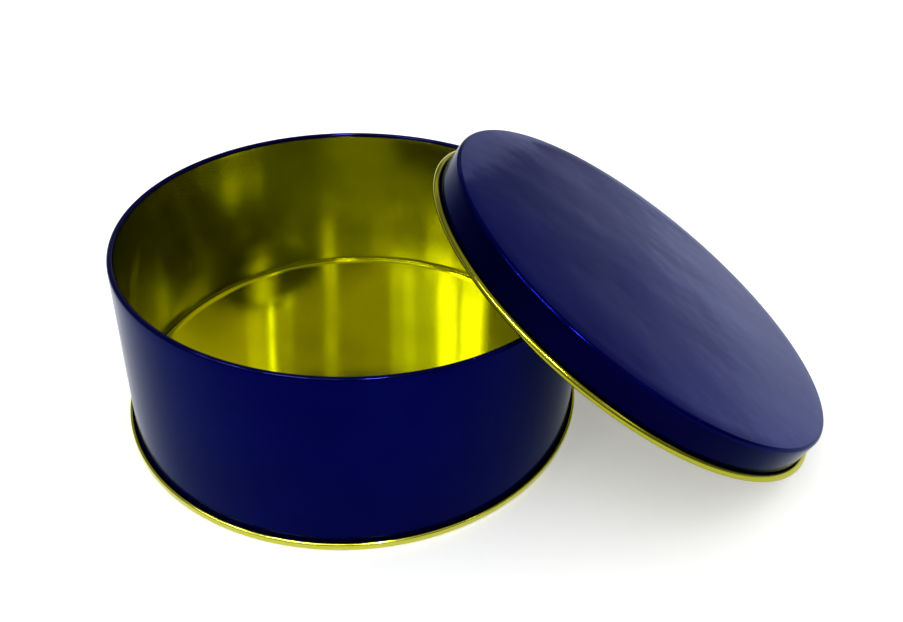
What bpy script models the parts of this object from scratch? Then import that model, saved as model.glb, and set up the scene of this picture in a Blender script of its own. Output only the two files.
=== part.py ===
"""Round cookie tin with its lid off: the lid leans on the tin's rim with its foot on the floor.

Every piece is one sheet of tinplate, drawn or rolled, so each is modelled as the path that runs
along the middle of its sheet, given the sheet's thickness and turned about its own axis.
Metres, +Z up, floor at Z = 0. The origin is under the middle of the tin and lid together, and
+X points from the tin towards the foot of the lid.
"""

import math

import bmesh
import bpy

MM = 0.001

# Tinplate
SHEET = 0.25 * MM
CLEARANCE = 0.3 * MM          # between the faces of neighbouring pieces

# Tin body: a strip rolled round, joined by a lock seam, curled inwards at the top
BODY_RADIUS = 95.0 * MM       # outside of the wall
TIN_HEIGHT = 78.0 * MM        # floor to the top of the rim
RIM_CURL_RADIUS = 1.1 * MM    # outside of the rolled edge
LOCK_SEAM_AZIMUTH = math.radians(45)
LOCK_SEAM_WIDTH = 4.0 * MM
LOCK_SEAM_RISE = 0.6 * MM     # how far the folded layers stand in from the wall
LOCK_SEAM_FLANK = 0.35 * MM
LOCK_SEAM_BOTTOM = 5.0 * MM
LOCK_SEAM_TOP = 72.5 * MM
LOCK_SEAM_NOTCH = 0.7 * MM    # height over which the seam fades out at each end

# Bottom end: a flat panel joined to the body by a double seam, which is the ring it stands on
DOUBLE_SEAM_HEIGHT = 2.9 * MM
SEAM_GAP = 0.45 * MM          # between the layers that are hooked into each other
PANEL_HEIGHT = 3.45 * MM      # top of the inside floor
PANEL_SHOULDER = 0.6 * MM
SEAM_CORNER = 0.5 * MM

# Lid: drawn from one sheet, curled outwards at its open edge
LID_HEIGHT = 15.5 * MM
LID_CURL_RADIUS = 1.47 * MM
LID_SHOULDER = 1.3 * MM       # rounding between the panel and the skirt
LEAN = math.radians(30.4)
SIDE_SHIFT = -6.3 * MM        # the lid stands a little to one side of the tin's middle

# Facets
SEGMENTS = 64
CURL_SWEEP = math.radians(300)
CURL_STEP = math.radians(30)
FOLD_STEP = math.radians(45)

# Worked out from the driving dimensions
PITCH = SHEET + SEAM_GAP                        # from one layer of the seam to the next
WALL_MID = BODY_RADIUS - SHEET / 2
CHUCK_MID = WALL_MID - SHEET - CLEARANCE
END_HOOK_MID = WALL_MID + PITCH
BODY_HOOK_MID = WALL_MID + 2 * PITCH
SEAMING_WALL_MID = WALL_MID + 3 * PITCH
FOLD_RADIUS = PITCH                             # middle of the sheet, in both hooks
FOLD_TOP = DOUBLE_SEAM_HEIGHT - SHEET / 2 - FOLD_RADIUS
FOLD_BOTTOM = SHEET + CLEARANCE + SHEET / 2 + FOLD_RADIUS
SKIRT_INNER = BODY_RADIUS + CLEARANCE
SKIRT_MID = SKIRT_INNER + SHEET / 2
LID_CURL_CENTRE = SKIRT_INNER + LID_CURL_RADIUS


def lid_reach():
    """Distance from the tin's axis to the lid curl's centre when the panel rests on the rim."""
    rim_r = BODY_RADIUS - RIM_CURL_RADIUS
    rim_z = TIN_HEIGHT - RIM_CURL_RADIUS
    rim_along_normal = rim_r * math.sin(LEAN) + rim_z * math.cos(LEAN)
    curl_to_underside = LID_HEIGHT - LID_CURL_RADIUS - SHEET
    standoff = rim_along_normal + RIM_CURL_RADIUS + CLEARANCE - curl_to_underside
    return (standoff - lid_curl_height() * math.cos(LEAN)) / math.sin(LEAN)


def lid_curl_height():
    """Height of the lid curl's centre when its lowest point is on the floor."""
    return LID_CURL_RADIUS + LID_CURL_CENTRE * math.sin(LEAN)


def lid_far_end():
    """Distance from the tin's axis to the lid's furthest point, which is on its lower shoulder."""
    open_edge_x = lid_reach() - LID_CURL_RADIUS * math.sin(LEAN)
    shoulder_r = SKIRT_MID - LID_SHOULDER
    shoulder_z = LID_HEIGHT - SHEET / 2 - LID_SHOULDER
    along_x = shoulder_r * math.cos(LEAN) + shoulder_z * math.sin(LEAN)
    return open_edge_x + along_x + LID_SHOULDER + SHEET / 2


# The origin is under the middle of everything's footprint
TIN_OUTER = SEAMING_WALL_MID + SHEET / 2
LID_OUTER = LID_CURL_CENTRE + LID_CURL_RADIUS
TIN_X = -(lid_far_end() - TIN_OUTER) / 2
TIN_Y = -(TIN_OUTER + SIDE_SHIFT - LID_OUTER) / 2


def clear_scene():
    for obj in list(bpy.data.objects):
        bpy.data.objects.remove(obj)


def lacquer(name, colour, roughness, metallic):
    """A Principled material for one lacquered face of the tinplate."""
    material = bpy.data.materials.new(name)
    material.use_nodes = True
    shader = material.node_tree.nodes["Principled BSDF"]
    shader.inputs["Base Color"].default_value = (*colour, 1.0)
    shader.inputs["Roughness"].default_value = roughness
    shader.inputs["Metallic"].default_value = metallic
    return material


def arc(centre, radius, start, end, step):
    """Points on an arc in the (radius, height) plane; angles run from outwards towards up."""
    count = max(1, round(abs(end - start) / step))
    points = []
    for i in range(count + 1):
        angle = start + (end - start) * i / count
        points.append((centre[0] + radius * math.cos(angle), centre[1] + radius * math.sin(angle)))
    return points


def offset(path, distance):
    """The path moved sideways by distance to its left, with its corners mitred."""
    def direction(a, b):
        length = math.hypot(b[0] - a[0], b[1] - a[1])
        return ((b[0] - a[0]) / length, (b[1] - a[1]) / length)

    moved = []
    for i, (r, z) in enumerate(path):
        before = direction(path[i - 1], path[i]) if i else direction(path[0], path[1])
        after = direction(path[i], path[i + 1]) if i + 1 < len(path) else before
        normal = (-(before[1] + after[1]), before[0] + after[0])
        size = math.hypot(*normal)
        mitre = 2 / size
        moved.append((r + normal[0] / size * mitre * distance, z + normal[1] / size * mitre * distance))
    return moved


def ring_of_points(bm, radius, height, angles):
    """One vertex for each angle, or the same vertex for all of them on the axis."""
    if radius < SHEET / 100:
        return [bm.verts.new((0, 0, height))] * len(angles)
    return [bm.verts.new((radius * math.cos(a), radius * math.sin(a), height)) for a in angles]


def turn_sheet(path, angles):
    """Turn a sheet about Z. Its left-hand face gets material 0, the rest material 1."""
    left = offset(path, SHEET / 2)
    right = offset(path, -SHEET / 2)
    section = left + right[::-1]
    bm = bmesh.new()
    rings = [ring_of_points(bm, r, z, angles) for r, z in section]
    for i, ring in enumerate(rings):
        following = rings[(i + 1) % len(rings)]
        for k in range(len(angles)):
            n = (k + 1) % len(angles)
            corners = list(dict.fromkeys([ring[k], ring[n], following[n], following[k]]))
            if len(corners) > 2:
                face = bm.faces.new(corners)
                face.material_index = 0 if i < len(left) - 1 else 1
    bmesh.ops.recalc_face_normals(bm, faces=bm.faces)
    return bm


def finish_object(name, bm, materials, location, lean=0.0):
    mesh = bpy.data.meshes.new(name)
    bm.to_mesh(mesh)
    bm.free()
    for material in materials:
        mesh.materials.append(material)
    mesh.shade_smooth()
    mesh.set_sharp_from_angle(angle=math.radians(50))
    obj = bpy.data.objects.new(name, mesh)
    obj.location = location
    obj.rotation_euler = (0, lean, 0)
    bpy.context.scene.collection.objects.link(obj)
    return obj


def even_angles():
    return [2 * math.pi * i / SEGMENTS for i in range(SEGMENTS)]


def seam_offset(angle):
    """Distance round the wall from the middle of the lock seam."""
    return abs(math.remainder(angle - LOCK_SEAM_AZIMUTH, 2 * math.pi)) * BODY_RADIUS


def body_path():
    """From inside the rim curl, over the rim, down the wall and out into the body hook."""
    curl = arc((BODY_RADIUS - RIM_CURL_RADIUS, TIN_HEIGHT - RIM_CURL_RADIUS),
               RIM_CURL_RADIUS - SHEET / 2, CURL_SWEEP, 0, CURL_STEP)
    wall = [(WALL_MID, LOCK_SEAM_TOP), (WALL_MID, LOCK_SEAM_TOP - LOCK_SEAM_NOTCH),
            (WALL_MID, LOCK_SEAM_BOTTOM + LOCK_SEAM_NOTCH), (WALL_MID, LOCK_SEAM_BOTTOM)]
    fold = arc((END_HOOK_MID, FOLD_BOTTOM), FOLD_RADIUS, math.pi, 2 * math.pi, FOLD_STEP)
    return curl + wall + fold + [(BODY_HOOK_MID, FOLD_TOP)]


def raise_lock_seam(bm):
    """Press the inside of the wall in where the folded layers of the seam lie."""
    inside = BODY_RADIUS - SHEET
    for vertex in bm.verts:
        radius = math.hypot(vertex.co.x, vertex.co.y)
        on_seam = seam_offset(math.atan2(vertex.co.y, vertex.co.x)) < LOCK_SEAM_WIDTH / 2 + SHEET / 10
        on_height = LOCK_SEAM_BOTTOM + SHEET < vertex.co.z < LOCK_SEAM_TOP - SHEET
        if on_seam and on_height and abs(radius - inside) < SHEET / 2:
            shrink = (inside - LOCK_SEAM_RISE) / radius
            vertex.co.x *= shrink
            vertex.co.y *= shrink


def make_body_shell(navy, gold):
    half = LOCK_SEAM_WIDTH / 2
    edges = [half / BODY_RADIUS, (half + LOCK_SEAM_FLANK) / BODY_RADIUS]
    seam_angles = [LOCK_SEAM_AZIMUTH + side * edge for side in (-1, 1) for edge in edges]
    bm = turn_sheet(body_path(), sorted(even_angles() + seam_angles))
    raise_lock_seam(bm)
    return finish_object("body_shell", bm, [navy, gold], (TIN_X, TIN_Y, 0))


def bottom_path():
    """From the middle of the floor out to the chuck wall, round the seam and into the end hook."""
    panel_mid = PANEL_HEIGHT - SHEET / 2
    shoulder = arc((CHUCK_MID - PANEL_SHOULDER, panel_mid - PANEL_SHOULDER),
                   PANEL_SHOULDER, math.pi / 2, 0, CURL_STEP)
    corner_z = SHEET / 2 + SEAM_CORNER
    inner_corner = arc((CHUCK_MID + SEAM_CORNER, corner_z), SEAM_CORNER,
                       math.pi, 1.5 * math.pi, FOLD_STEP)
    outer_corner = arc((SEAMING_WALL_MID - SEAM_CORNER, corner_z), SEAM_CORNER,
                       1.5 * math.pi, 2 * math.pi, FOLD_STEP)
    fold = arc((BODY_HOOK_MID, FOLD_TOP), FOLD_RADIUS, 0, math.pi, FOLD_STEP)
    return [(0, panel_mid)] + shoulder + inner_corner + outer_corner + fold + [(END_HOOK_MID, FOLD_BOTTOM)]


def make_bottom_end(gold):
    bm = turn_sheet(bottom_path(), even_angles())
    return finish_object("bottom_end", bm, [gold, gold], (TIN_X, TIN_Y, 0))


def lid_path():
    """From the middle of the panel out to the skirt, down it and round the curl."""
    panel_mid = LID_HEIGHT - SHEET / 2
    shoulder = arc((SKIRT_MID - LID_SHOULDER, panel_mid - LID_SHOULDER), LID_SHOULDER,
                   math.pi / 2, 0, CURL_STEP)
    curl = arc((LID_CURL_CENTRE, LID_CURL_RADIUS), LID_CURL_RADIUS - SHEET / 2,
               math.pi, math.pi + CURL_SWEEP, CURL_STEP)
    return [(0, panel_mid)] + shoulder + curl


def make_lid(navy, gold):
    """The lid's own origin is the centre of its open edge, and its lift is straight up from there."""
    below_curl = LID_CURL_RADIUS
    place = (TIN_X + lid_reach() - below_curl * math.sin(LEAN),
             TIN_Y + SIDE_SHIFT,
             lid_curl_height() - below_curl * math.cos(LEAN))
    bm = turn_sheet(lid_path(), even_angles())
    return finish_object("lid", bm, [navy, gold], place, LEAN)


def main():
    clear_scene()
    navy = lacquer("navy_lacquer", (0.004, 0.006, 0.06), 0.3, 0.3)
    gold = lacquer("gold_lacquer", (0.48, 0.42, 0.05), 0.25, 1.0)
    make_body_shell(navy, gold)
    make_bottom_end(gold)
    make_lid(navy, gold)


main()
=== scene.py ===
"""Cookie tin with its lid leaning on the rim: fine sheet-metal meshes, lacquers, light and camera."""

import math

import bmesh
import bpy
from mathutils import Matrix, Vector


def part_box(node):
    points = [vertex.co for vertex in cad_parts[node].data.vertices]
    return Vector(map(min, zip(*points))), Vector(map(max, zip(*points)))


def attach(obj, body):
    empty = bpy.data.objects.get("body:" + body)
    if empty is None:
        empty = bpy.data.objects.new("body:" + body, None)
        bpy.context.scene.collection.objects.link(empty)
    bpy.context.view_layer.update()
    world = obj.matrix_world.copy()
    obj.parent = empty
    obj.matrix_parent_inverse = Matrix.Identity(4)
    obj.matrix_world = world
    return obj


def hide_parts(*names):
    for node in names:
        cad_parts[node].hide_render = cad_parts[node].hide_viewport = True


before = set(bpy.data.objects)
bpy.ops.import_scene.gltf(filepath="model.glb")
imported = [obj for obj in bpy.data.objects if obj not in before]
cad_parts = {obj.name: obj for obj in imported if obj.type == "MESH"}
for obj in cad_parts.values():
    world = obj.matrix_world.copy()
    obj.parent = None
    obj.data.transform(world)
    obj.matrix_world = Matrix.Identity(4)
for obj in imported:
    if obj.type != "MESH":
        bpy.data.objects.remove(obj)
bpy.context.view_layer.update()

MM = 0.001

# ---------------------------------------------------------------- driving dimensions
SHEET = 0.25 * MM
RIM_CURL_RADIUS = 1.1 * MM
LID_CURL_RADIUS = 1.47 * MM
LID_SKIRT_GAP = 0.3 * MM      # between the body's wall and the lid's skirt, on each side
LID_HEIGHT = 15.5 * MM
LID_SHOULDER = 1.3 * MM
LEAN = math.radians(30.4)
PANEL_HEIGHT = 3.45 * MM
PANEL_SHOULDER = 0.35 * MM
SEAM_CORNER = 0.5 * MM
SEAM_HEIGHT = 2.9 * MM
SEAM_GAP = 0.45 * MM          # between the layers of the double seam
CHUCK_GAP = 0.3 * MM          # between the bottom's raised wall and the body's wall
SEAM_LIFT = 0.3 * MM          # body hook above the seam's floor
CURL_SWEEP = math.radians(300)
LOCK_SEAM_AZIMUTH = math.radians(45)
LOCK_SEAM_WIDTH = 4.0 * MM
LOCK_SEAM_RISE = 0.6 * MM
LOCK_SEAM_GROOVE = 0.12 * MM  # the fine line it leaves on the outside
LOCK_SEAM_LINE = 0.3 * MM     # and that line's width
LOCK_SEAM_BOTTOM = 5.0 * MM
LOCK_SEAM_TOP = 72.5 * MM

# ---------------------------------------------------------------- fineness, and how thin sheet strays
SEGMENTS = 360
ARC_STEP = math.radians(12)
SIDE_STEP = 2 * MM            # longest step up a wall or a skirt
FLOOR_STEP = 3 * MM
LID_STEP = 6 * MM
BEAD_STEPS = 8
SHARP_ANGLE = math.radians(40)
GLOSS_END_STEPS = 3           # last steps of the rim's curl, which keep the wall's finish

# Waves in the wall: height, count round the tin, turn. Waves in the panels: along X, along Y, turn.
WALL_WAVES = ((0.035 * MM, 7, 0.6), (0.03 * MM, 11, 2.1), (0.018 * MM, 17, 4.0))
PANEL_WAVES = ((95, 40, 0.3), (-60, 110, 1.7), (150, -70, 4.1), (30, 190, 2.6))
PANEL_DISH = 0.12 * MM
PANEL_UNEVENNESS = 0.8        # how much of the dish the waves take away or add
SAG_DEPTH = 0.95 * MM         # the tin's thin floor hangs a little, behind its middle
SAG_CENTRE = (0.0, 30 * MM)
SAG_RADIUS = 60 * MM
BEAD_HEIGHT = 0.2 * MM        # the floor's edge stands up a little before it turns down
BEAD_WIDTH = 0.5 * MM

# ---------------------------------------------------------------- studio, in metres and degrees
FLOOR_RADIUS = 4.0
FLOOR_SIDES = 120
FLOOR_DROP = 0.1 * MM         # keeps the floor clear of the seam that stands on it
LIGHT_DISTANCE = 3.0
WARM_TINT = (0.08, -0.08, -0.12)    # what a warmth of 1 adds to a lamp's red, green and blue

# The dome's radiance at each elevation.
DOME = ((0, 0.8), (1.5, 0.7), (4, 0.42), (7, 0.24), (14, 0.15),
        (27, 0.22), (36, 0.3), (45, 0.35), (60, 0.5))

# Softboxes that the lacquer mirrors: name, azimuth, elevation, width, height, radiance, warmth.
SOFTBOXES = (
    ("left_near", -142, 38.5, 10.5, 10, 3.8, -0.2),
    ("left_far", -159, 38.5, 13, 10, 3.8, -0.2),
    ("left_low", -135, 32, 14, 5, 1.6, -0.3),
    ("left_lamp", -148, 24, 8, 5, 1.0, 0.6),
    ("left_edge", -167, 36, 5, 8, 0.9, 0.0),
    ("camera_left_wide", -121, 36.5, 24, 9, 1.0, -0.4),
    ("camera_left", -117, 36.5, 5, 3, 1.8, -0.4),
    ("camera_low", -101, 31, 10, 5, 0.45, 0.0),
    ("camera_high", -70, 42, 70, 6, 0.35, 1.0),
    ("camera_right", -70, 35.5, 6, 5, 1.6, 0.0),
    ("camera_right_low", -70, 29.5, 5, 7, 0.85, 0.0),
    ("right_strip", -33, 41.5, 1.8, 12, 6.0, -0.4),
    ("right_strip_glow", -26, 42, 14, 10, 0.7, -0.3),
    ("right_front", -43, 38, 7, 4, 0.5, 0.0),
    ("right_wide", 5, 43, 50, 11, 0.65, 1.0),
    ("right_low", 8, 28, 12, 4, 2.4, -0.3),
    ("right_back", 38, 28, 36, 9, 0.3, 0.0),
    ("back_wide", 85, 27, 90, 12, 0.45, 0.0),
    ("back_right", 74, 8, 20, 14, 0.6, 0.0),
)

# Small bright lamps that show only as highlights: name, azimuth, elevation, width, height, radiance.
CEILING_LAMPS = (
    ("ceiling_front", -78, 60, 6, 6, 200),
    ("ceiling_middle", -108, 64, 8, 7, 20),
    ("ceiling_left_front", -130, 58, 14, 3, 150),
    ("ceiling_left", -157, 50, 7, 3, 110),
    ("ceiling_left_back", -171, 47, 6, 3, 35),
)

# Wide lamps that light the floor and show in no highlight.
FILL_AZIMUTHS = (20, 110, 200, 290)
FILL_ELEVATION = 50
FILL_SIZE = 55
FILL_RADIANCE = 0.85

CAMERA_LENS = 35.26           # in mm, on a sensor 36 mm wide
CAMERA_SHIFT = (-0.0530, -0.0615)
CAMERA_PLACE = (-0.03646, -0.31108, 0.26202)
CAMERA_HEADING, CAMERA_PITCH, CAMERA_ROLL = 0.1328, 0.5533, 0.0817    # in radians

# ---------------------------------------------------------------- places, from the frame
ring_low, ring_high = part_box("bottom_end")
body_low, body_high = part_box("body_shell")
lid_low, lid_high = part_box("lid")
TIN_AXIS = (ring_low + ring_high) / 2
TIN_AXIS.z = 0
TIN_HEIGHT = body_high.z
RING_RADIUS = (ring_high.x - ring_low.x) / 2
SEAM_PITCH = SHEET + SEAM_GAP
BODY_RADIUS = RING_RADIUS - 3 * SEAM_PITCH
WALL_MID = BODY_RADIUS - SHEET / 2
SKIRT_INNER = BODY_RADIUS + LID_SKIRT_GAP
SKIRT_MID = SKIRT_INNER + SHEET / 2
LID_CURL_CENTRE = SKIRT_INNER + LID_CURL_RADIUS


def lid_origin():
    """Centre of the lid's open edge.

    Its height stands the lid's lowest point on the floor, and its X puts the outside of the shoulder
    at the far end of the lid's box in the frame.
    """
    curl_height = LID_CURL_RADIUS + LID_CURL_CENTRE * math.sin(LEAN)
    z = curl_height - LID_CURL_RADIUS * math.cos(LEAN)
    shoulder_r = SKIRT_MID - LID_SHOULDER
    shoulder_z = LID_HEIGHT - SHEET / 2 - LID_SHOULDER
    reach = shoulder_r * math.cos(LEAN) + shoulder_z * math.sin(LEAN) + LID_SHOULDER + SHEET / 2
    return Vector((lid_high.x - reach, (lid_low.y + lid_high.y) / 2, z))


# ---------------------------------------------------------------- sheet metal
def arc(centre, radius, start, end, step=ARC_STEP):
    """Points on an arc in the (radius, height) plane; angles run from outwards towards up."""
    count = max(2, math.ceil(abs(end - start) / step - 1e-6))
    angles = [start + (end - start) * i / count for i in range(count + 1)]
    return [(centre[0] + radius * math.cos(a), centre[1] + radius * math.sin(a)) for a in angles]


def straight(a, b, step):
    """Points between a and b, without b, no further apart than step."""
    count = max(1, math.ceil(math.dist(a, b) / step))
    return [(a[0] + (b[0] - a[0]) * i / count, a[1] + (b[1] - a[1]) * i / count) for i in range(count)]


def offset(path, distance):
    """The path moved sideways by distance to its left, with its corners mitred."""
    moved = []
    for i, point in enumerate(path):
        back = Vector(path[i]) - Vector(path[i - 1]) if i else Vector(path[1]) - Vector(path[0])
        ahead = Vector(path[i + 1]) - Vector(path[i]) if i + 1 < len(path) else back
        across = back.normalized() + ahead.normalized()
        normal = Vector((-across.y, across.x)).normalized()
        mitre = 2 / across.length
        moved.append((point[0] + normal.x * mitre * distance, point[1] + normal.y * mitre * distance))
    return moved


def turn_sheet(path, angles, zones=()):
    """Turn a sheet about Z into one closed body.

    Material 0 is on the path's left-hand side, 1 on its right, and 2 on the cut edges. Each zone is
    (first step, last step, left material, right material) for a stretch of path with its own finish.
    """
    left = offset(path, SHEET / 2)
    finishes = [(0, 1)] * len(path)
    for first, last, left_finish, right_finish in zones:
        finishes[first:last] = [(left_finish, right_finish)] * (last - first)
    section = left + offset(path, -SHEET / 2)[::-1]
    bm = bmesh.new()
    rings = []
    for r, z in section:
        if r < SHEET / 100:
            rings.append([bm.verts.new((0, 0, z))] * len(angles))
        else:
            rings.append([bm.verts.new((r * math.cos(a), r * math.sin(a), z)) for a in angles])
    for i, ring in enumerate(rings):
        following = rings[(i + 1) % len(rings)]
        if i in (len(left) - 1, len(rings) - 1):
            finish = 2
        elif i < len(left):
            finish = finishes[i][0]
        else:
            finish = finishes[len(rings) - 2 - i][1]
        for k in range(len(angles)):
            n = (k + 1) % len(angles)
            corners = list(dict.fromkeys([ring[k], ring[n], following[n], following[k]]))
            if len(corners) > 2:
                bm.faces.new(corners).material_index = finish
    bmesh.ops.recalc_face_normals(bm, faces=bm.faces)
    return bm


def even_angles():
    """The turns at which a plain round piece has its columns of points."""
    return [2 * math.pi * i / SEGMENTS for i in range(SEGMENTS)]


def finish_piece(name, bm, materials, place, body, nodes):
    """Set the mesh down at its place, so that its object stays at the origin like a CAD node's."""
    mesh = bpy.data.meshes.new(name)
    bm.transform(place)
    bm.to_mesh(mesh)
    bm.free()
    for material in materials:
        mesh.materials.append(material)
    mesh.shade_smooth()
    mesh.set_sharp_from_angle(angle=SHARP_ANGLE)
    piece = bpy.data.objects.new(name, mesh)
    bpy.context.scene.collection.objects.link(piece)
    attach(piece, body)
    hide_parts(*nodes)
    return piece


# ---------------------------------------------------------------- pieces
def body_curl():
    """The rim, rolled inwards, from its hidden end round to the wall."""
    return arc((BODY_RADIUS - RIM_CURL_RADIUS, TIN_HEIGHT - RIM_CURL_RADIUS),
               RIM_CURL_RADIUS - SHEET / 2, CURL_SWEEP, 0)


def body_path():
    """The body from its rim down the wall and round the hook inside the double seam."""
    wall = straight((WALL_MID, LOCK_SEAM_TOP), (WALL_MID, LOCK_SEAM_BOTTOM), SIDE_STEP)
    fold_bottom = SHEET + SEAM_LIFT + SHEET / 2 + SEAM_PITCH
    fold = arc((WALL_MID + SEAM_PITCH, fold_bottom), SEAM_PITCH, math.pi, 2 * math.pi)
    hook_end = (WALL_MID + 2 * SEAM_PITCH, SEAM_HEIGHT - SHEET / 2 - SEAM_PITCH)
    return body_curl() + wall + fold + [hook_end]


def wall_waves(angle, z):
    """How far the rolled wall strays from a true cylinder: not at all at its two ends."""
    fade = math.sin(math.pi * min(1, max(0, z / TIN_HEIGHT))) ** 0.5
    return fade * sum(size * math.sin(count * angle + turn) for size, count, turn in WALL_WAVES)


def seam_step(angle, z, inner):
    """The lock seam: folded layers on the inside, and one fine pressed line on the outside."""
    if not LOCK_SEAM_BOTTOM < z < LOCK_SEAM_TOP - MM:
        return 0
    half = LOCK_SEAM_WIDTH / 2
    across = math.remainder(angle - LOCK_SEAM_AZIMUTH, 2 * math.pi) * BODY_RADIUS
    if inner:
        return -LOCK_SEAM_RISE if abs(across) < half + LOCK_SEAM_LINE / 10 else 0
    return -LOCK_SEAM_GROOVE if abs(across - half) < LOCK_SEAM_LINE / 10 else 0


def make_body():
    """The body: navy outside, gold inside, and finish 3 on the roll of the rim.

    It has extra columns of points where the lock seam steps in and where its groove runs.
    """
    half = LOCK_SEAM_WIDTH / 2
    columns = [-half - LOCK_SEAM_LINE, -half, -half * 0.9, half * 0.9, half - LOCK_SEAM_LINE / 2, half,
               half + LOCK_SEAM_LINE / 2, half + LOCK_SEAM_LINE]
    extra = [LOCK_SEAM_AZIMUTH + across / BODY_RADIUS for across in columns]
    rim = (0, len(body_curl()) - GLOSS_END_STEPS, 3, 1)
    bm = turn_sheet(body_path(), sorted(even_angles() + extra), [rim])
    for v in bm.verts:
        if not SEAM_HEIGHT < v.co.z < TIN_HEIGHT - 3 * RIM_CURL_RADIUS:
            continue
        radius = math.hypot(v.co.x, v.co.y)
        angle = math.atan2(v.co.y, v.co.x)
        moved = wall_waves(angle, v.co.z) + seam_step(angle, v.co.z, radius < WALL_MID)
        v.co.x *= 1 + moved / radius
        v.co.y *= 1 + moved / radius
    return finish_piece("tin_body", bm, [navy_body, gold_wall, cut_edge, navy_rim],
                        Matrix.Translation(TIN_AXIS), "tin", ["body_shell"])


def bottom_panel():
    """The tin's floor with its raised edge and its shoulder, from the middle outwards."""
    panel_mid = PANEL_HEIGHT - SHEET / 2
    panel_edge = WALL_MID - SHEET - CHUCK_GAP - PANEL_SHOULDER
    bead_start = panel_edge - BEAD_WIDTH
    path = straight((0, panel_mid), (bead_start, panel_mid), FLOOR_STEP)
    for step in range(1, BEAD_STEPS):
        share = step / BEAD_STEPS
        rise = BEAD_HEIGHT * (1 - math.cos(math.pi * share)) / 2
        path.append((bead_start + BEAD_WIDTH * share, panel_mid + rise))
    bead_top = panel_mid + BEAD_HEIGHT
    return path + arc((panel_edge, bead_top - PANEL_SHOULDER), PANEL_SHOULDER, math.pi / 2, 0)


def bottom_path():
    """The floor, then down, out and round the body's hook: the double seam."""
    chuck_mid = WALL_MID - SHEET - CHUCK_GAP
    seaming_wall_mid = WALL_MID + 3 * SEAM_PITCH
    corner_z = SHEET / 2 + SEAM_CORNER
    inner = arc((chuck_mid + SEAM_CORNER, corner_z), SEAM_CORNER, math.pi, 1.5 * math.pi)
    outer = arc((seaming_wall_mid - SEAM_CORNER, corner_z), SEAM_CORNER, 1.5 * math.pi, 2 * math.pi)
    fold_z = SEAM_HEIGHT - SHEET / 2 - SEAM_PITCH
    fold = arc((WALL_MID + 2 * SEAM_PITCH, fold_z), SEAM_PITCH, 0, math.pi)
    hook_end = (WALL_MID + SEAM_PITCH, fold_z - SEAM_PITCH)
    return bottom_panel() + inner + outer + fold + [hook_end]


def panel_dish(x, y, edge):
    """How far a flat panel sinks below true: a shallow, uneven dish that is zero at its edge."""
    radius = math.hypot(x, y)
    if radius >= edge:
        return 0
    fade = (1 - (radius / edge) ** 2) ** 2
    waves = sum(math.sin(x * a + y * b + turn) for a, b, turn in PANEL_WAVES) / len(PANEL_WAVES)
    return fade * PANEL_DISH * (1 + PANEL_UNEVENNESS * waves)


def floor_sag(x, y):
    """How far the tin's thin floor hangs: a smooth hollow behind its middle."""
    reach = math.hypot(x - SAG_CENTRE[0], y - SAG_CENTRE[1]) / SAG_RADIUS
    return SAG_DEPTH * max(0, 1 - reach ** 2) ** 2


def make_bottom():
    """The bottom: gold on both faces, with finish 3 on the seam's ring."""
    seam = (len(bottom_panel()), len(bottom_path()), 3, 3)
    bm = turn_sheet(bottom_path(), even_angles(), [seam])
    edge = WALL_MID - SHEET - CHUCK_GAP - 2 * PANEL_SHOULDER - BEAD_WIDTH
    for v in bm.verts:
        v.co.z -= panel_dish(v.co.x, v.co.y, edge) + floor_sag(v.co.x, v.co.y)
    return finish_piece("tin_bottom", bm, [gold_floor, gold_floor, cut_edge, gold_seam],
                        Matrix.Translation(TIN_AXIS), "tin", ["bottom_end"])


def lid_stretches():
    """The lid's panel, shoulder, skirt and curl, from the middle outwards."""
    panel_mid = LID_HEIGHT - SHEET / 2
    panel_edge = SKIRT_MID - LID_SHOULDER
    panel = straight((0, panel_mid), (panel_edge, panel_mid), LID_STEP)
    shoulder = arc((panel_edge, panel_mid - LID_SHOULDER), LID_SHOULDER, math.pi / 2, 0)
    skirt = straight((SKIRT_MID, panel_mid - LID_SHOULDER), (SKIRT_MID, LID_CURL_RADIUS), SIDE_STEP)[1:]
    curl = arc((LID_CURL_CENTRE, LID_CURL_RADIUS), LID_CURL_RADIUS - SHEET / 2,
               math.pi, math.pi + CURL_SWEEP)
    return panel, shoulder, skirt, curl


def make_lid():
    """The lid: navy over gold, with finishes 3, 4 and 5 on its shoulder, skirt and rolled edge; the panel's
    navy is painted lighter, and the skirt's navy, the underside's gold and the rolled edge's gold painted
    darker, as painted light and shade.
    """
    panel, shoulder, skirt, curl = lid_stretches()
    shoulder_end = len(panel + shoulder) - 1
    skirt_end = len(panel + shoulder + skirt)
    path = panel + shoulder + skirt + curl
    edge = (len(panel), shoulder_end, 3, 1)
    side = (shoulder_end, skirt_end, 4, 1)
    roll = (skirt_end, len(path), 4, 5)
    bm = turn_sheet(path, even_angles(), [edge, side, roll])
    for v in bm.verts:
        if v.co.z > LID_HEIGHT - 2 * SHEET:
            v.co.z -= panel_dish(v.co.x, v.co.y, SKIRT_MID - 2 * LID_SHOULDER)
    place = Matrix.Translation(lid_origin()) @ Matrix.Rotation(LEAN, 4, "Y")
    # Lit and shaded copies of one navy and one gold: painted light on the panel, painted shade on the
    # skirt, the underside and the rolled edge.
    finishes = [navy_lid_painted_light, gold_lid_painted_shade, cut_edge, navy_edge, navy_skirt_painted_shade, gold_curl_painted_shade]
    return finish_piece("tin_lid", bm, finishes, place, "lid", ["lid"])


# ---------------------------------------------------------------- materials
def new_material(name):
    """A new material, its node tree and its Principled shader."""
    material = bpy.data.materials.new(name)
    material.use_nodes = True
    tree = material.node_tree
    return material, tree, tree.nodes["Principled BSDF"]


def node(tree, kind, **settings):
    """A new node of the kind given, with its settings."""
    made = tree.nodes.new(kind)
    for key, value in settings.items():
        setattr(made, key, value)
    return made


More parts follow.
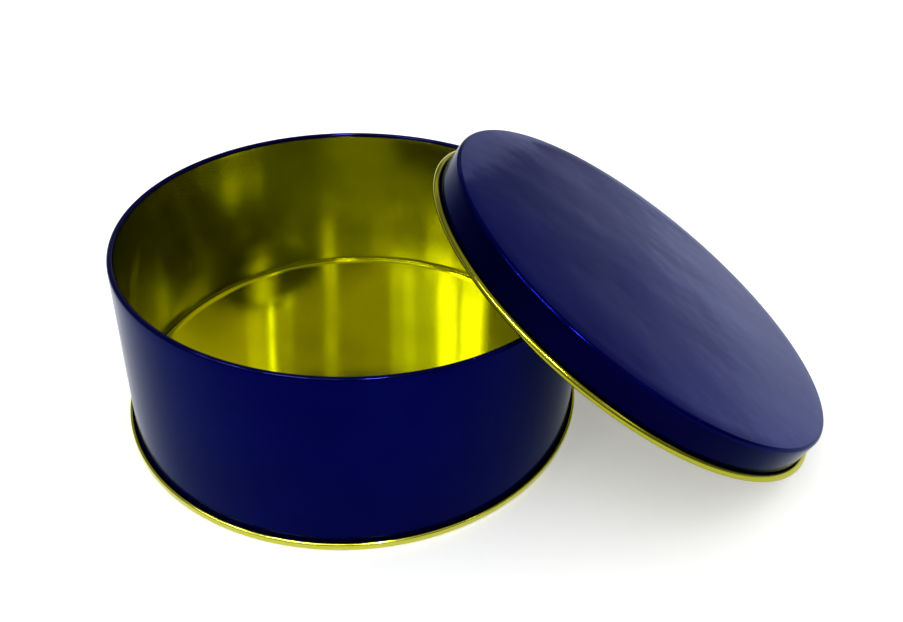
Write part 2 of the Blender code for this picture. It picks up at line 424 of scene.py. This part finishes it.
def object_place(tree, tilt=0.0, stretch=(1, 1, 1)):
    """Object coordinates, turned back by tilt about Y, then scaled: under 1 draws a pattern out."""
    turn = node(tree, "ShaderNodeMapping")
    turn.inputs["Rotation"].default_value = (0, -tilt, 0)
    tree.links.new(node(tree, "ShaderNodeTexCoord").outputs["Object"], turn.inputs["Vector"])
    scale = node(tree, "ShaderNodeMapping")
    scale.inputs["Scale"].default_value = stretch
    tree.links.new(turn.outputs["Vector"], scale.inputs["Vector"])
    return scale.outputs["Vector"]


def noise(tree, coordinates, scale, detail=3.0, roughness=0.5):
    """Cloudy noise from 0 to 1."""
    made = node(tree, "ShaderNodeTexNoise")
    made.inputs["Scale"].default_value = scale
    made.inputs["Detail"].default_value = detail
    made.inputs["Roughness"].default_value = roughness
    tree.links.new(coordinates, made.inputs["Vector"])
    return made.outputs["Fac"]


def ramp(tree, value, stops):
    """A value turned into grey levels or colours at the stops given."""
    made = node(tree, "ShaderNodeValToRGB")
    elements = made.color_ramp.elements
    while len(elements) < len(stops):
        elements.new(0.5)
    for element, (position, colour) in zip(elements, stops):
        element.position = position
        element.color = (*colour, 1) if isinstance(colour, tuple) else (colour, colour, colour, 1)
    tree.links.new(value, made.inputs["Fac"])
    return made.outputs["Color"]


def maths(tree, operation, first, second):
    """Two values put together by one operation; each is a number or another node's output."""
    made = node(tree, "ShaderNodeMath", operation=operation)
    for socket, value in zip(made.inputs, (first, second)):
        if isinstance(value, (int, float)):
            socket.default_value = value
        else:
            tree.links.new(value, socket)
    return made.outputs["Value"]


def bump(tree, height, strength, distance, normal=None):
    """A surface raised by height times distance, on top of an earlier bump's normal if there is one."""
    made = node(tree, "ShaderNodeBump")
    made.inputs["Strength"].default_value = strength
    made.inputs["Distance"].default_value = distance
    tree.links.new(height, made.inputs["Height"])
    if normal is not None:
        tree.links.new(normal, made.inputs["Normal"])
    return made.outputs["Normal"]


def scratches(tree, turns, scale=60.0, length=25.0):
    """A mask of fine straight hairlines, some along each of the turns given, about the object's Z."""
    total = None
    for i, turn in enumerate(turns):
        lay = node(tree, "ShaderNodeMapping")
        lay.inputs["Rotation"].default_value = (0, 0, turn)
        lay.inputs["Location"].default_value = (0.37 * i, 0.11 * i, 0)
        tree.links.new(node(tree, "ShaderNodeTexCoord").outputs["Object"], lay.inputs["Vector"])
        drawn_out = node(tree, "ShaderNodeMapping")
        drawn_out.inputs["Scale"].default_value = (1, length, 1)
        tree.links.new(lay.outputs["Vector"], drawn_out.inputs["Vector"])
        streaks = noise(tree, drawn_out.outputs["Vector"], scale, 2.0, 0.6)
        lines = ramp(tree, streaks, [(0.70, 0.0), (0.73, 1.0)])
        total = lines if total is None else maths(tree, "MAXIMUM", total, lines)
    return total


def navy_lacquer(name, blue, roughness, ior=1.05, edge=0.5, metallic=0.6,
                 clouds=0.2, nicks=0.0, tilt=0.0):
    """Dark blue stoving lacquer over tinplate, part covering and part clear.

    edge is how brightly the sheet shines at grazing angles, clouds is how uneven its surface is, and
    nicks is how bright the spots are where the lacquer has chipped off a rolled edge.
    """
    material, tree, shader = new_material(name)
    place = object_place(tree, tilt)
    shader.inputs["Metallic"].default_value = metallic
    shader.inputs["IOR"].default_value = ior
    shader.inputs["Specular Tint"].default_value = (0.95 * edge, 1.02 * edge, 1.18 * edge, 1)
    green = 0.01 * blue
    shades = [(0.3, (0.0001, green, 0.88 * blue)), (0.7, (0.0003, 2 * green, 1.12 * blue))]
    colour = ramp(tree, noise(tree, place, 30, 4), shades)
    if nicks:
        chips = ramp(tree, noise(tree, place, 420, 3.0, 0.7), [(0.72, 0.0), (0.76, nicks)])
        mix = node(tree, "ShaderNodeMix", data_type="RGBA")
        mix.inputs["B"].default_value = (0.55, 0.56, 0.58, 1)
        tree.links.new(chips, mix.inputs["Factor"])
        tree.links.new(colour, mix.inputs["A"])
        colour = mix.outputs["Result"]
    tree.links.new(colour, shader.inputs["Base Color"])
    cleaner, duller = roughness - 0.03, roughness + 0.05
    smudges = ramp(tree, noise(tree, place, 45, 5, 0.6), [(0.3, cleaner), (0.75, duller)])
    hairlines = maths(tree, "MULTIPLY", scratches(tree, (0.4, 1.9, 2.7)), 0.04)
    tree.links.new(maths(tree, "ADD", smudges, hairlines), shader.inputs["Roughness"])
    sag = bump(tree, noise(tree, place, 12, 1.0), clouds, 1.1 * MM)
    waves = bump(tree, noise(tree, place, 34, 2.5), clouds, 0.22 * MM, sag)
    peel = bump(tree, noise(tree, place, 900, 2.0), 0.1, 0.03 * MM, waves)
    tree.links.new(peel, shader.inputs["Normal"])
    return material


def gold_lacquer(name, shine, roughness, coat, grain, tilt=0.0):
    """Clear yellow lacquer over bright tin: rolled grain under a smooth coat.

    shine is how much light the tin gives back, and grain is the stretch that the rolling gave it.
    """
    material, tree, shader = new_material(name)
    place = object_place(tree, tilt)
    shader.inputs["Metallic"].default_value = 1.0
    shader.inputs["Specular Tint"].default_value = (0.85, 0.85, 0.5, 1)
    pale = (1.03 * shine, 1.04 * shine, 0.027 * shine)
    deep = (0.97 * shine, 0.96 * shine, 0.020 * shine)
    colour = ramp(tree, noise(tree, place, 25, 3), [(0.3, deep), (0.7, pale)])
    tree.links.new(colour, shader.inputs["Base Color"])
    cleaner, duller = roughness - 0.02, roughness + 0.03
    smudges = ramp(tree, noise(tree, place, 60, 5, 0.6), [(0.3, cleaner), (0.75, duller)])
    hairlines = maths(tree, "MULTIPLY", scratches(tree, (0.2, 1.1, 2.3)), 0.05)
    tree.links.new(maths(tree, "ADD", smudges, hairlines), shader.inputs["Roughness"])
    shader.inputs["Coat Weight"].default_value = coat
    shader.inputs["Coat Roughness"].default_value = 0.1
    rolled = noise(tree, object_place(tree, tilt, grain), 1200, 2.0)
    tree.links.new(bump(tree, rolled, 0.008, 0.01 * MM), shader.inputs["Normal"])
    return material


def cut_tinplate():
    """Bare, dull metal, for the sheet's cut edges."""
    material, tree, shader = new_material("cut_tinplate")
    shader.inputs["Metallic"].default_value = 1.0
    shade = ramp(tree, noise(tree, object_place(tree), 400, 2), [(0.3, 0.45), (0.7, 0.6)])
    tree.links.new(shade, shader.inputs["Base Color"])
    shader.inputs["Roughness"].default_value = 0.35
    return material


def floor_material():
    """White acrylic of a light table: lit from above and glowing faintly, so shadows stay pale."""
    material, tree, shader = new_material("studio_floor")
    shader.inputs["Base Color"].default_value = (0.9, 0.9, 0.9, 1)
    shader.inputs["Emission Color"].default_value = (1, 1, 1, 1)
    shader.inputs["Emission Strength"].default_value = 0.3
    shader.inputs["Roughness"].default_value = 0.9
    shader.inputs["Specular IOR Level"].default_value = 0.0
    return material


# ---------------------------------------------------------------- studio
def make_floor():
    """A plain white disc, wide enough that its edge is out of the picture."""
    bm = bmesh.new()
    turns = [math.tau * side / FLOOR_SIDES for side in range(FLOOR_SIDES)]
    rim = [(FLOOR_RADIUS * math.cos(turn), FLOOR_RADIUS * math.sin(turn), 0) for turn in turns]
    bm.faces.new([bm.verts.new(point) for point in rim])
    mesh = bpy.data.meshes.new("studio_floor")
    bm.to_mesh(mesh)
    bm.free()
    mesh.materials.append(floor_material())
    floor = bpy.data.objects.new("studio_floor", mesh)
    floor.location.z = -FLOOR_DROP
    bpy.context.scene.collection.objects.link(floor)


def direction(azimuth, elevation):
    """Unit vector; azimuth runs from +X towards +Y."""
    a, e = math.radians(azimuth), math.radians(elevation)
    return Vector((math.cos(a) * math.cos(e), math.sin(a) * math.cos(e), math.sin(e)))


def softbox(name, azimuth, elevation, wide, tall, radiance, warmth=0.0):
    """An area light that faces the tin, with its place and size as angles in degrees from the tin."""
    light = bpy.data.lights.new(name, "AREA")
    light.shape = "RECTANGLE"
    light.size = 2 * LIGHT_DISTANCE * math.tan(math.radians(wide / 2))
    light.size_y = 2 * LIGHT_DISTANCE * math.tan(math.radians(tall / 2))
    light.energy = radiance * math.pi * light.size * light.size_y
    light.color = [1 + share * warmth for share in WARM_TINT]
    lamp = bpy.data.objects.new(name, light)
    toward = direction(azimuth, elevation)
    lamp.location = TIN_AXIS + toward * LIGHT_DISTANCE
    lamp.rotation_euler = toward.to_track_quat("Z", "Y").to_euler()
    lamp.visible_camera = False
    bpy.context.scene.collection.objects.link(lamp)
    return lamp


def make_dome():
    """Studio dome: soft light from above, dim sides, and a pale band at the horizon."""
    world = bpy.data.worlds.new("studio")
    bpy.context.scene.world = world
    world.use_nodes = True
    tree = world.node_tree
    split = node(tree, "ShaderNodeSeparateXYZ")
    tree.links.new(node(tree, "ShaderNodeTexCoord").outputs["Generated"], split.inputs["Vector"])
    stops = [(math.sin(math.radians(elevation)), radiance) for elevation, radiance in DOME]
    tree.links.new(ramp(tree, split.outputs["Z"], stops), tree.nodes["Background"].inputs["Color"])


def make_lights():
    """The softboxes, the highlight lamps, the fills and the dome."""
    for settings in SOFTBOXES:
        softbox(*settings)
    for settings in CEILING_LAMPS:
        softbox(*settings).visible_diffuse = False
    for azimuth in FILL_AZIMUTHS:
        fill = softbox("overhead_fill", azimuth, FILL_ELEVATION, FILL_SIZE, FILL_SIZE, FILL_RADIANCE)
        fill.visible_glossy = False
    make_dome()


def make_camera():
    """The camera, above and in front of the tin, with no depth of field."""
    camera = bpy.data.cameras.new("camera")
    camera.sensor_width = 36
    camera.lens = CAMERA_LENS
    camera.shift_x, camera.shift_y = CAMERA_SHIFT
    camera.dof.use_dof = False
    camera.clip_start = 0.01
    obj = bpy.data.objects.new("camera", camera)
    heading = Matrix.Rotation(-CAMERA_HEADING, 4, "Z")
    pitch = Matrix.Rotation(math.pi / 2 - CAMERA_PITCH, 4, "X")
    roll = Matrix.Rotation(CAMERA_ROLL, 4, "Z")
    obj.matrix_world = Matrix.Translation(CAMERA_PLACE) @ heading @ pitch @ roll
    bpy.context.scene.collection.objects.link(obj)
    bpy.context.scene.camera = obj


bpy.context.scene.view_settings.view_transform = "Standard"

# Stretches of the rolled grain: 0.05 draws it out along that axis.
ALONG_X = (0.05, 1, 1)
ALONG_Z = (1, 1, 0.05)

navy_body = navy_lacquer("navy_lacquer_body", blue=0.05, roughness=0.13, edge=0.62)
navy_rim = navy_lacquer("navy_lacquer_rim", blue=0.04, roughness=0.1, ior=1.25, edge=0.35,
                        metallic=0.5, nicks=0.5)
# Painted light: the lid's panel is the body's navy lacquer, painted lighter.
navy_lid_painted_light = navy_lacquer("navy_lacquer_lid_painted_light", blue=0.1, roughness=0.11, ior=1.14, edge=0.68,
                        clouds=0.85, tilt=LEAN)
navy_edge = navy_lacquer("navy_lacquer_edge", blue=0.05, roughness=0.12, ior=1.1, edge=0.6,
                         nicks=0.3, tilt=LEAN)
# Painted shade: the skirt is the lid's own navy lacquer, painted much darker.
navy_skirt_painted_shade = navy_lacquer("navy_lacquer_skirt_painted_shade", blue=0.022, roughness=0.12, ior=1.08, edge=0.55,
                          tilt=LEAN)
gold_wall = gold_lacquer("gold_lacquer_wall", shine=0.53, roughness=0.13, coat=0.2, grain=ALONG_Z)
gold_floor = gold_lacquer("gold_lacquer_floor", shine=0.53, roughness=0.11, coat=0.2, grain=ALONG_X)
gold_seam = gold_lacquer("gold_lacquer_seam", shine=0.5, roughness=0.12, coat=1.0, grain=ALONG_Z)
# Painted shade: the lid's underside and its rolled edge are the wall's gold lacquer, painted about half as
# bright.
gold_lid_painted_shade = gold_lacquer("gold_lacquer_lid_painted_shade", shine=0.28, roughness=0.15, coat=0.2, grain=ALONG_X, tilt=LEAN)
gold_curl_painted_shade = gold_lacquer("gold_lacquer_curl_painted_shade", shine=0.3, roughness=0.15, coat=0.3, grain=ALONG_Z, tilt=LEAN)
cut_edge = cut_tinplate()

make_body()
make_bottom()
make_lid()
make_floor()
make_lights()
make_camera()
